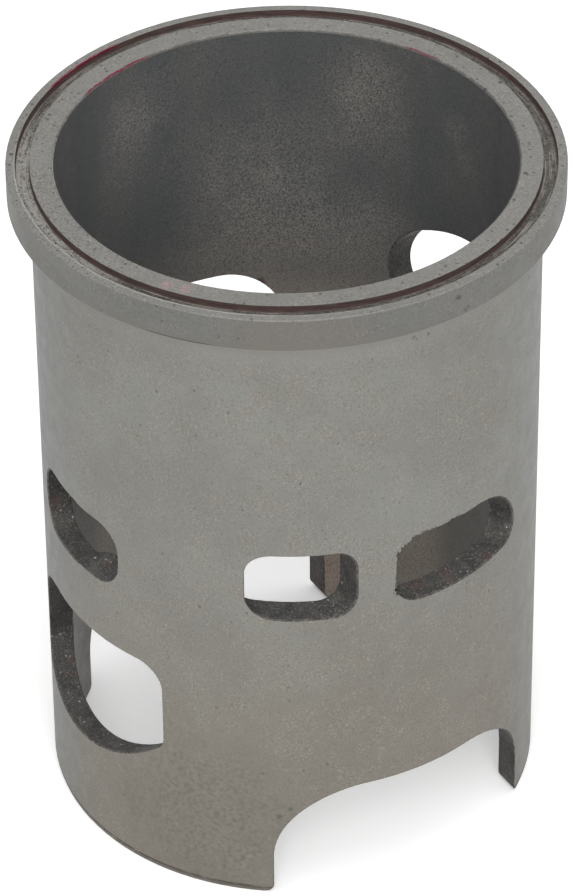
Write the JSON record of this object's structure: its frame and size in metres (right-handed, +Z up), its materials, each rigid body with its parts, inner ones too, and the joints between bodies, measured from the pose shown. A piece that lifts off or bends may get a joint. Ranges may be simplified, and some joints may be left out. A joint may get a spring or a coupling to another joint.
{
  "type": "cylinder liner",
  "caption": "Flanged iron cylinder liner with exhaust, transfer, boost and intake windows, a seal groove in its top face and an arched skirt.",
  "frame": {"origin": "on the bore axis at the foot of the skirt", "axes": "+Z up the bore axis to the flange, +X through the middle of the exhaust window, XZ the plane of symmetry"},
  "size_m": [0.08, 0.08, 0.1075],
  "materials": {
    "liner_iron": "ground outside and honed bore, with as-cast window walls"
  },
  "bodies": {
    "root": {"cylinder_liner": "liner_iron"}
  },
  "joints": []
}
